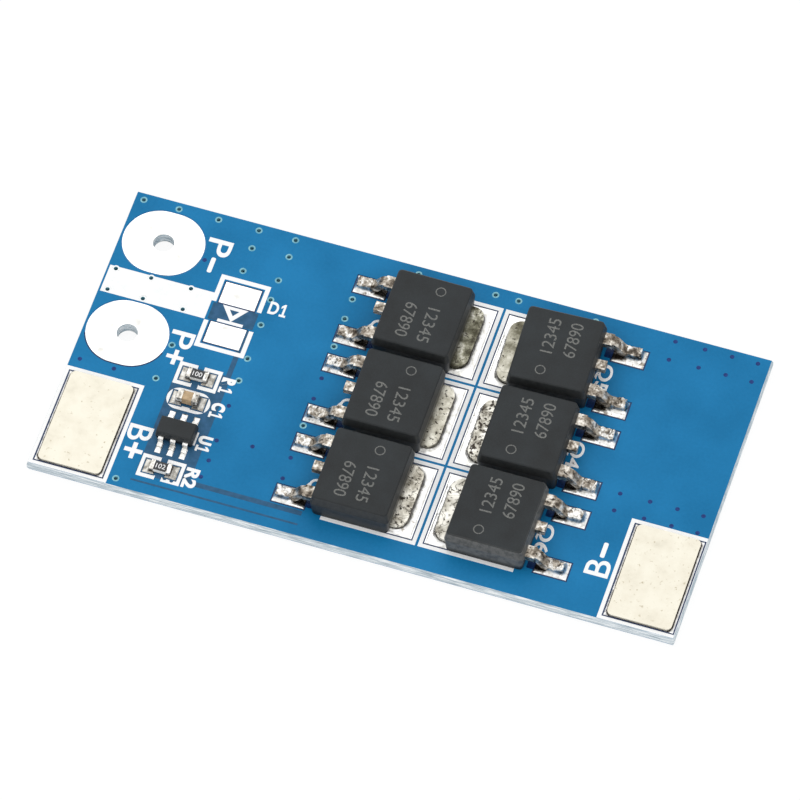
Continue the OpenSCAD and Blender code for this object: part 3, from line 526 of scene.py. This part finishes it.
# signs printed on the board
signs = {
    "level": 1.0,              # top of the mask
    "ink": 0.02,
    # how much the strokes of each sign are thickened
    "weights": {"P": 0.008, "B": 0.008, "Q": 0.02, "D": 0.03, "R2": 0.04},
    "smallWeight": 0.065,
    "minusCorner": 0.12,
    # text, turn in degrees, then the box that it fills: left, right, front, back
    "words": [
        ("P", -90, -18.4, -16.5, 8.75, 10.2),
        ("P", -90, -18.4, -16.6, 0.25, 1.7),
        ("B", -90, -18.75, -16.9, -8.3, -6.95),
        ("B", 90, 17.0, 18.85, -9.1, -7.7),
        ("R", -90, -13.5, -12.45, -1.9, -1.15), ("1", -90, -13.5, -12.45, -2.5, -2.02),
        ("C", -90, -13.5, -12.45, -4.12, -3.4), ("1", -90, -13.5, -12.45, -4.75, -4.27),
        ("U", -90, -13.5, -12.45, -7.12, -6.4), ("1", -90, -13.5, -12.45, -7.8, -7.28),
        ("R2", -90, -13.5, -12.45, -11.05, -9.3),
        ("D", 0, -12.2, -11.45, 5.1, 6.2), ("1", 0, -11.3, -10.8, 5.1, 6.2),
        ("Q5", -90, 12.75, 14.0, 6.0, 8.4),
        ("Q4", -90, 12.75, 14.0, -0.9, 1.4),
        ("Q6", -90, 12.75, 14.0, -8.5, -6.0),
        ("Q", -90, -4.7, -3.4, 5.85, 7.05),
        ("Q", -90, -4.7, -3.4, -1.35, -0.15),
        ("Q", -90, -4.7, -3.4, -8.6, -7.4),
    ],
    # middle, half length and line of each plus; left, right, front and back of each minus
    "pluses": [(-17.5, -0.6, 0.65, 0.32), (-17.8, -9.15, 0.7, 0.34)],
    "minuses": [(-17.7, -17.35, 7.2, 8.55), (17.75, 18.1, -7.5, -6.2)],
}
letter = {"depth": 0.1, "curveSteps": 6, "joinWithin": 1e-5}      # before it is fitted in its box


def newPiece(name, shape, finish):
    mesh = bpy.data.meshes.new(name)
    shape.to_mesh(mesh)
    shape.free()
    piece = bpy.data.objects.new(name, mesh)
    bpy.context.scene.collection.objects.link(piece)
    mesh.materials.append(finishes[finish])
    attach(piece, "root")
    return piece


def wordShape(text, weight):
    curve = bpy.data.curves.new("word", "FONT")
    curve.body = text
    curve.size = 1.0
    curve.offset = weight
    curve.extrude = letter["depth"]
    curve.resolution_u = letter["curveSteps"]
    holder = bpy.data.objects.new("word", curve)
    bpy.context.scene.collection.objects.link(holder)
    bpy.context.view_layer.update()
    mesh = bpy.data.meshes.new_from_object(holder.evaluated_get(bpy.context.evaluated_depsgraph_get()))
    shape = bmesh.new()
    shape.from_mesh(mesh)
    bpy.data.objects.remove(holder)
    bpy.data.curves.remove(curve)
    bpy.data.meshes.remove(mesh)
    bmesh.ops.remove_doubles(shape, verts=shape.verts, dist=letter["joinWithin"])
    return shape


def toMetres(shape):
    bmesh.ops.scale(shape, verts=shape.verts, vec=(mm, mm, mm))


def moveShape(shape, step):
    bmesh.ops.translate(shape, verts=shape.verts, vec=step)


def turnShape(shape, angle):
    bmesh.ops.rotate(shape, verts=shape.verts, cent=(0, 0, 0), matrix=Matrix.Rotation(angle, 3, "Z"))


def fitInBox(shape, turn, left, right, front, back, low, high):
    turnShape(shape, math.radians(turn))
    lows = [min(v.co[i] for v in shape.verts) for i in range(3)]
    spans = [max(v.co[i] for v in shape.verts) - lows[i] for i in range(3)]
    moveShape(shape, [-a for a in lows])
    bmesh.ops.scale(shape, verts=shape.verts,
                    vec=[(right - left) / spans[0], (back - front) / spans[1], (high - low) / spans[2]])
    moveShape(shape, (left, front, low))
    toMetres(shape)


def barShape(left, right, front, back, low, high, corner):
    shape = bmesh.new()
    bmesh.ops.create_cube(shape, size=1.0)
    bmesh.ops.scale(shape, verts=shape.verts, vec=(right - left, back - front, high - low))
    upright = [e for e in shape.edges if abs(e.verts[0].co.z - e.verts[1].co.z) > tiny]
    bmesh.ops.bevel(shape, geom=upright, offset=corner, affect="EDGES", segments=4, profile=0.5, material=-1)
    moveShape(shape, ((left + right) / 2, (front + back) / 2, (low + high) / 2))
    toMetres(shape)
    return shape


def vertsOf(geometry):
    return [v for v in geometry if isinstance(v, bmesh.types.BMVert)]


def figureOne():      # a 1 with a foot, in a box of one by one
    shape = bmesh.new()
    corners = [(0.0, 0.0), (1.0, 0.0), (1.0, 0.16), (0.68, 0.16), (0.68, 1.0), (0.38, 1.0),
               (0.0, 0.8), (0.0, 0.62), (0.36, 0.76), (0.36, 0.16), (0.0, 0.16)]
    face = shape.faces.new([shape.verts.new((x, y, 0)) for x, y in corners])
    raised = bmesh.ops.extrude_face_region(shape, geom=[face])["geom"]
    bmesh.ops.translate(shape, verts=vertsOf(raised), vec=(0, 0, letter["depth"]))
    bmesh.ops.recalc_face_normals(shape, faces=shape.faces)
    return shape


def plusShape(x, y, reach, line, low, high):
    shape = bmesh.new()
    bmesh.ops.create_cube(shape, size=1.0)
    bmesh.ops.scale(shape, verts=shape.verts, vec=(line, line, high - low))
    sides = [f for f in shape.faces if abs(f.normal.z) < 0.5]
    for arm in bmesh.ops.extrude_discrete_faces(shape, faces=sides)["faces"]:
        bmesh.ops.translate(shape, verts=arm.verts, vec=arm.normal * (reach - line / 2))
    moveShape(shape, (x, y, (low + high) / 2))
    toMetres(shape)
    return shape


def joinInto(whole, part):
    mesh = bpy.data.meshes.new("part")
    part.to_mesh(mesh)
    whole.from_mesh(mesh)
    part.free()
    bpy.data.meshes.remove(mesh)


def printSigns():
    whole = bmesh.new()
    low, high = signs["level"], signs["level"] + signs["ink"]
    for text, turn, left, right, front, back in signs["words"]:
        weight = signs["weights"].get(text if text == "R2" else text[0], signs["smallWeight"])
        word = figureOne() if text == "1" else wordShape(text, weight)
        fitInBox(word, turn, left, right, front, back, low, high)
        joinInto(whole, word)
    for x, y, reach, line in signs["pluses"]:
        joinInto(whole, plusShape(x, y, reach, line, low, high))
    for left, right, front, back in signs["minuses"]:
        joinInto(whole, barShape(left, right, front, back, low, high, signs["minusCorner"]))
    newPiece("printed_signs", whole, "ink")


printSigns()
print("signs printed")


# solder at the power packages
joint = {
    "grid": 0.05,              # spacing of the solder's mesh
    "padTop": 1.02,
    "fewestSteps": 4,          # of that mesh across a pad
    "seat": 0.035,             # solder under a foot or a tab
    "climb": 0.26,             # how far it climbs up a side
    "climbLumps": (0.9, 0.2),  # share of that which is even, and which is uneven
    "spread": 0.13,            # how quickly it falls away from that side
    "coat": 0.03,              # how much lies on the rest of the pad
    "coatLumps": 0.015,
    "lumps": 0.3,              # how uneven a fillet and a stain are
    "thinnest": 0.008,
    "edge": 0.12,              # how quickly it thins at the pad's edge
    "rimShare": 0.15,          # of its height that is left there
    "fillet": (0.4, 0.34),     # height and reach of the solder beside a foot
    "cap": (0.2, 0.06),        # how much more it is over the foot, and how sharp that step is
    "capLumps": 0.08,
    "stainWidth": 0.08,        # burnt flux beside the metal
    "footStain": (0.55, 0.05, 0.045),      # beside a foot: strength, distance and width
    # painted shade under a lead's bend, where the lead hides the pad: how far from the pad's inner end, half
    # width, and how soft each is
    "shadeUnderBend": {"start": 1.05, "startFade": 0.25, "half": 0.62, "halfFade": 0.2, "strength": 0.95},
    # brown film on each package's back and front foot, and the share of it beside the foot
    "film": {1: (0.4, 0.5), 2: (0.25, 0.3), 3: (0.25, 0.2), 4: (0.25, 0.35), 5: (0.7, 0.5), 6: (0.15, 0.3)},
    "filmBeside": 0.25,
    "footReach": (-5.92, -4.75),
    "footWidth": 0.84,
    "footCorner": 0.2,
    "gate": 2.285,             # from the package's middle to an outer lead
    "leadPad": (-6.1, -3.6, 0.75),
    "tabReach": (0.0, 4.1),
    "tabWidth": 5.4,
    "tabCorner": 0.9,
    "tabPad": (2.75, 4.67, 3.1),
    "turns": {1: -0.4, 2: 0.3, 3: 0.0, 4: 1.0, 5: 2.5, 6: 0.0},
    "slides": {1: 0.0, 2: 0.05, 3: 0.0, 4: 0.0, 5: -0.1, 6: -0.15},
}


def smoothStep(t):
    t = min(max(t, 0.0), 1.0)
    return t * t * (3 - 2 * t)


def roundedDistance(x, y, halfX, halfY, corner):
    dx, dy = abs(x) - halfX + corner, abs(y) - halfY + corner
    return math.hypot(max(dx, 0), max(dy, 0)) + min(max(dx, dy), 0) - corner


def lumpAt(x, y, seed):      # lumps of two sizes, by how many fit in a millimetre
    large, small, smallShare = 1.7, 5, 0.5
    lump = noise.noise(Vector((x * large, y * large, seed)))
    return lump + smallShare * noise.noise(Vector((x * small, y * small, seed + 7)))


# A sheet of solder over one pad. "held" gives the distance from what stands in it, "foot" is
# how brown a lead's foot is, and is None where no foot is covered.
def solderShape(left, right, front, back, held, climb, seed, foot=None,
                grid=joint["grid"], seat=joint["seat"], burnt=1.0):
    shape = bmesh.new()
    stain = shape.verts.layers.float.new("stain")
    film = shape.verts.layers.float.new("film")
    steps = [max(joint["fewestSteps"], round(span / grid)) for span in (right - left, back - front)]
    bmesh.ops.create_grid(shape, x_segments=steps[0], y_segments=steps[1], size=0.5)
    bmesh.ops.scale(shape, verts=shape.verts, vec=(right - left, back - front, 1))
    moveShape(shape, ((left + right) / 2, (front + back) / 2, 0))
    for v in shape.verts:
        x, y = v.co.x, v.co.y
        away = held(x, y)
        inside = min(x - left, right - x, y - front, back - y)
        lump = lumpAt(x, y, seed)
        uneven = 1 + joint["lumps"] * lump
        if foot is not None:      # solder that has run over the top of a foot
            height, reach = joint["fillet"]
            cap, edge = joint["cap"]
            over = smoothStep((edge - away) / (2 * edge))
            fillet = height * max(0, 1 - max(away, 0) / reach) ** 2 * uneven
            rise = joint["coat"] + fillet + (cap + joint["capLumps"] * lump) * over
            strength, distance, width = joint["footStain"]
            beside = (strength + lump) * math.exp(-((away - distance) / width) ** 2)
            # painted shade under the lead's bend, put into the same dark values as the burnt flux
            shadeUnderBend = joint["shadeUnderBend"]
            inward = smoothStep((x - right + shadeUnderBend["start"]) / shadeUnderBend["startFade"])
            across = smoothStep((shadeUnderBend["half"] - abs(y - (front + back) / 2)) / shadeUnderBend["halfFade"])
            v[stain] = max(beside, shadeUnderBend["strength"] * (inward * across))
            v[film] = foot * (joint["filmBeside"] + (1 - joint["filmBeside"]) * over)
        else:
            base, change = joint["climbLumps"]
            slope = climb * (base + change * lump) * math.exp(-away / joint["spread"])
            rise = seat if away < 0 else joint["coat"] + slope + joint["coatLumps"] * lump
            width = joint["stainWidth"] * uneven
            v[stain] = min(1, burnt * math.exp(-(max(away, 0) / width) ** 2))
        kept = joint["rimShare"] + (1 - joint["rimShare"]) * smoothStep(inside / joint["edge"])
        v.co.z = joint["padTop"] + max(rise, joint["thinnest"]) * kept
    rim = [e for e in shape.edges if e.is_boundary]
    for v in vertsOf(bmesh.ops.extrude_edge_only(shape, edges=rim)["geom"]):
        v.co.z = joint["padTop"]
    bmesh.ops.holes_fill(shape, edges=[e for e in shape.edges if e.is_boundary], sides=0)
    bmesh.ops.recalc_face_normals(shape, faces=shape.faces)
    for f in shape.faces:
        f.smooth = len(f.verts) == 4
    return shape


def solderPackage(number):
    low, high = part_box("q%d_moulding" % number)
    rightColumn = number in (4, 5, 6)
    middle = (low + high) / 2 / mm
    middle.x -= joint["slides"][number]
    turn = math.radians(joint["turns"][number])

    def inPackage(x, y):          # from the pads' own frame to the slightly turned package
        x -= joint["slides"][number] * (-1 if rightColumn else 1)
        return x * math.cos(turn) + y * math.sin(turn), y * math.cos(turn) - x * math.sin(turn)

    def fromTab(x, y):
        x, y = inPackage(x, y)
        start, end = joint["tabReach"]
        return roundedDistance(x - (start + end) / 2, y, (end - start) / 2, joint["tabWidth"] / 2,
                               joint["tabCorner"])

    whole = bmesh.new()
    seed = number * 3.0
    left, right, half = joint["tabPad"]
    joinInto(whole, solderShape(left, right, -half, half, fromTab, joint["climb"], seed))
    for side in (-1, 1):
        def fromFoot(x, y):
            x, y = inPackage(x, y)
            start, end = joint["footReach"]
            return roundedDistance(x - (start + end) / 2, y - side * joint["gate"], (end - start) / 2,
                                   joint["footWidth"] / 2, joint["footCorner"])

        left, right, half = joint["leadPad"]
        atBack = (side == 1) != rightColumn
        joinInto(whole, solderShape(left, right, side * joint["gate"] - half, side * joint["gate"] + half,
                                    fromFoot, joint["climb"], seed + side,
                                    joint["film"][number][0 if atBack else 1]))
    if rightColumn:
        turnShape(whole, math.pi)
    moveShape(whole, (middle.x, middle.y, 0))
    toMetres(whole)
    piece = newPiece("q%d_solder_joints" % number, whole, "solder")
    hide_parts("q%d_solder" % number)


for number in range(1, 7):
    solderPackage(number)
print("packages soldered")


# solder at the small parts and the plates
smallJoint = {
    "grid": 0.045,
    # pads and bodies by their half length and half width
    "chipPadX": 0.86,
    "chipPad": (0.45, 0.575),
    "chip": (0.8, 0.4),
    "chipCorner": 0.02,
    "chipClimbs": [("r1_ends", 0.2), ("r2_ends", 0.2), ("c1_ends", 0.38)],
    "chipSeed": 40,
    "legPitch": 0.95,
    "legPadY": 1.4,
    "legPad": (0.225, 0.475),
    "legFootY": 1.2,
    "legFoot": (0.19, 0.2),
    "legCorner": 0.05,
    "legClimb": 0.1,
    "legBurnt": 0.15,
    "legSeed": 60,
}
plateJoint = {
    "grid": 0.07,
    "border": (0.21, 0.03),
    "corner": 0.4,
    "climb": 0.1,
    "seat": 0.004,
    "burnt": 2.5,
    "seed": 80,
}


def centreOf(name):
    low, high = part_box(name)
    return (low + high) / 2 / mm


def padSolder(whole, middle, halfX, halfY, held, climb, seed, grid, seat=joint["seat"], burnt=1.0):
    x, y = middle
    part = solderShape(x - halfX, x + halfX, y - halfY, y + halfY, held, climb, seed,
                       grid=grid, seat=seat, burnt=burnt)
    toMetres(part)
    joinInto(whole, part)


def solderSmallParts():
    whole = bmesh.new()
    for number, (name, climb) in enumerate(smallJoint["chipClimbs"]):
        middle = centreOf(name)

        def fromChip(x, y):
            return roundedDistance(x - middle.x, y - middle.y, *smallJoint["chip"], smallJoint["chipCorner"])

        for side in (-1, 1):
            padSolder(whole, (middle.x + side * smallJoint["chipPadX"], middle.y), *smallJoint["chipPad"],
                      fromChip, climb, smallJoint["chipSeed"] + number * 2 + side, smallJoint["grid"])
    piece = newPiece("small_solder_joints", whole, "smallSolder")
    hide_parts("small_solder")


def solderController():
    whole = bmesh.new()
    middle = centreOf("u1_leads")
    for column in (-1, 0, 1):
        for side in (-1, 1):
            legX = middle.x + column * smallJoint["legPitch"]

            def fromLeg(x, y):
                return roundedDistance(x - legX, y - middle.y - side * smallJoint["legFootY"],
                                       *smallJoint["legFoot"], smallJoint["legCorner"])

            padSolder(whole, (legX, middle.y + side * smallJoint["legPadY"]), *smallJoint["legPad"],
                      fromLeg, smallJoint["legClimb"], smallJoint["legSeed"] + column * 2 + side,
                      smallJoint["grid"], burnt=smallJoint["legBurnt"])
    newPiece("u1_solder_joints", whole, "solder")


def solderPlates():
    whole = bmesh.new()
    borderX, borderY = plateJoint["border"]
    for number, name in enumerate(("b_plus_plate", "b_minus_plate")):
        low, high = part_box(name)
        middle, half = centreOf(name), (high - low) / 2 / mm

        def fromPlate(x, y):
            return roundedDistance(x - middle.x, y - middle.y, half.x, half.y, plateJoint["corner"])

        padSolder(whole, (middle.x, middle.y), half.x + borderX, half.y + borderY, fromPlate,
                  plateJoint["climb"], plateJoint["seed"] + number, plateJoint["grid"],
                  plateJoint["seat"], plateJoint["burnt"])
    newPiece("plate_solder", whole, "solder")


solderSmallParts()
solderController()
solderPlates()
print("small parts and plates soldered")


# what shows of the copper under the lacquer, and painted shade under the lead shoulders
underLacquer = {
    "film": 0.004,
    "filmStep": 0.0005,                  # so that no two films lie in one plane
    "sink": 0.02,                        # how far each reaches into the mask
    "gapCorner": 0.05,
    # left, right, front, back of each place without copper
    "gaps": [
        (-13.35, -12.95, -10.4, 3.2),
        (-17.02, -13.35, -10.9, -1.0),
        (-16.3, -12.75, 3.35, 4.85),
        (-13.4, -4.2, -10.75, -10.35),
        (-17.2, -4.2, -11.6, -11.45),
    ],
    # painted shade: a dark patch on the mask under each outer lead's shoulder; along a package, and half
    # across
    "shadeUnderLead": (-3.58, -3.0, 0.55),   # along a package, and half across, at each outer lead
    "shadeUnderLeadCorner": 0.1,
    "shadeUnderLeadFilm": 0.005,
    "plugRadius": 0.17,
    "plugSides": 20,
    "rimRadii": (0.17, 0.285),
    "rimSides": 24,
    "blockRight": -17,                   # the printed block's holes lie left of this
}


def islandCentres(name):      # the middle of each separate solid in a node
    shape = bmesh.new()
    shape.from_mesh(nodes[name].data)
    bmesh.ops.remove_doubles(shape, verts=shape.verts, dist=tiny)
    seen = set()
    centres = []
    for first in shape.verts:
        if first in seen:
            continue
        group = [first]
        seen.add(first)
        for v in group:      # grows while it is read
            reached = [e.other_vert(v) for e in v.link_edges]
            fresh = [other for other in reached if other not in seen]
            seen.update(fresh)
            group += fresh
        centres.append(sum((v.co for v in group), Vector()) / len(group) / mm)
    shape.free()
    return centres


def discShape(x, y, radius, low, high):
    shape = bmesh.new()
    bmesh.ops.create_cone(shape, cap_ends=True, segments=underLacquer["plugSides"],
                          radius1=radius, radius2=radius, depth=high - low)
    moveShape(shape, (x, y, (low + high) / 2))
    toMetres(shape)
    return shape


def rimShape(x, y, inner, outer, low, high):
    shape = bmesh.new()
    bmesh.ops.create_circle(shape, segments=underLacquer["rimSides"], radius=inner)
    outside = vertsOf(bmesh.ops.extrude_edge_only(shape, edges=shape.edges[:])["geom"])
    bmesh.ops.scale(shape, verts=outside, vec=(outer / inner, outer / inner, 1))
    top = vertsOf(bmesh.ops.extrude_face_region(shape, geom=shape.faces[:])["geom"])
    bmesh.ops.translate(shape, verts=top, vec=(0, 0, high - low))
    bmesh.ops.recalc_face_normals(shape, faces=shape.faces)
    moveShape(shape, (x, y, low))
    toMetres(shape)
    return shape


def showGaps(level, sunkTo):
    gaps = bmesh.new()
    for number, (left, right, front, back) in enumerate(underLacquer["gaps"]):
        top = level + underLacquer["film"] + underLacquer["filmStep"] * number
        joinInto(gaps, barShape(left, right, front, back, sunkTo, top, underLacquer["gapCorner"]))
    newPiece("bare_board_under_mask", gaps, "bareBlue")


# painted shade: dark patches on the mask under the outer leads' shoulders, where the leads shade it
def paintShadeUnderLeads(level, sunkTo):
    sunk = bmesh.new()
    for number in range(1, 7):
        middle, facing = centreOf("q%d_moulding" % number), (-1 if number > 3 else 1)
        start, end, half = underLacquer["shadeUnderLead"]
        for side in (-1, 1):
            x, y = middle.x - joint["slides"][number], middle.y + side * joint["gate"]
            left, right = sorted((x + facing * start, x + facing * end))
            joinInto(sunk, barShape(left, right, y - half, y + half, sunkTo,
                                    level + underLacquer["shadeUnderLeadFilm"], underLacquer["shadeUnderLeadCorner"]))
    newPiece("painted_shade_under_leads", sunk, "paintedShadeBlue")


def showPluggedVias(level, sunkTo):
    plugs = bmesh.new()
    film = underLacquer["film"]
    for centre in islandCentres("covered_vias"):
        for low, high in ((sunkTo, level + film), (-film / 2, underLacquer["sink"])):
            joinInto(plugs, discShape(centre.x, centre.y, underLacquer["plugRadius"], low, high))
    newPiece("plugged_via_spots", plugs, "plugBlue")


def inkRoundHoles(level):
    rims = bmesh.new()
    front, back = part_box("p_plus_pad")[1].y / mm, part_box("p_minus_pad")[0].y / mm
    for centre in islandCentres("open_vias"):
        if front < centre.y < back and centre.x < underLacquer["blockRight"]:
            joinInto(rims, rimShape(centre.x, centre.y, *underLacquer["rimRadii"],
                                    level, level + signs["ink"]))
    newPiece("block_hole_rims", rims, "ink")


maskTop = signs["level"]
inMask = maskTop - underLacquer["sink"]
showGaps(maskTop, inMask)
paintShadeUnderLeads(maskTop, inMask)
showPluggedVias(maskTop, inMask)
inkRoundHoles(maskTop)
print("copper shown through")


# plain marks on the packages
marks = {
    "digitHeight": 0.95,
    "rows": [("12345", -0.7, 0.95, 3.0), ("67890", 1.0, 0.95, 3.0)],      # text, across, along, length
    "ring": (-0.7, -2.1, 0.32, 0.4),                                      # across, along, radii
    "chipDigits": [("r1_coat", "100"), ("r2_coat", "102")],
    "chipDigitBox": (0.36, 0.2),
    "film": 0.003,
    "sink": 0.02,
    "chipSink": 0.01,
}


def markPackages():
    half = marks["digitHeight"] / 2
    for number in range(1, 7):
        low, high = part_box("q%d_moulding" % number)
        middle, top = (low + high) / 2 / mm, high.z / mm
        whole = bmesh.new()
        for text, across, along, length in marks["rows"]:
            word = wordShape(text, 0.0)
            fitInBox(word, 90, across - half, across + half, along - length / 2, along + length / 2,
                     top - marks["sink"], top + marks["film"])
            joinInto(whole, word)
        across, along, inner, outer = marks["ring"]
        joinInto(whole, rimShape(across, along, inner, outer, top - marks["sink"], top + marks["film"]))
        turn = math.radians(joint["turns"][number]) + (0 if number > 3 else math.pi)
        turnShape(whole, turn)
        moveShape(whole, (middle.x * mm, middle.y * mm, 0))
        newPiece("q%d_marks" % number, whole, "burn")


def markChips():
    digits = bmesh.new()
    halfWide, halfHigh = marks["chipDigitBox"]
    for name, text in marks["chipDigits"]:
        low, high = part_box(name)
        middle, top = (low + high) / 2 / mm, high.z / mm
        word = wordShape(text, 0.0)
        fitInBox(word, 0, middle.x - halfWide, middle.x + halfWide, middle.y - halfHigh, middle.y + halfHigh,
                 top - marks["chipSink"], top + marks["film"])
        joinInto(digits, word)
    newPiece("chip_digits", digits, "ink")


markPackages()
markChips()
print("packages marked")
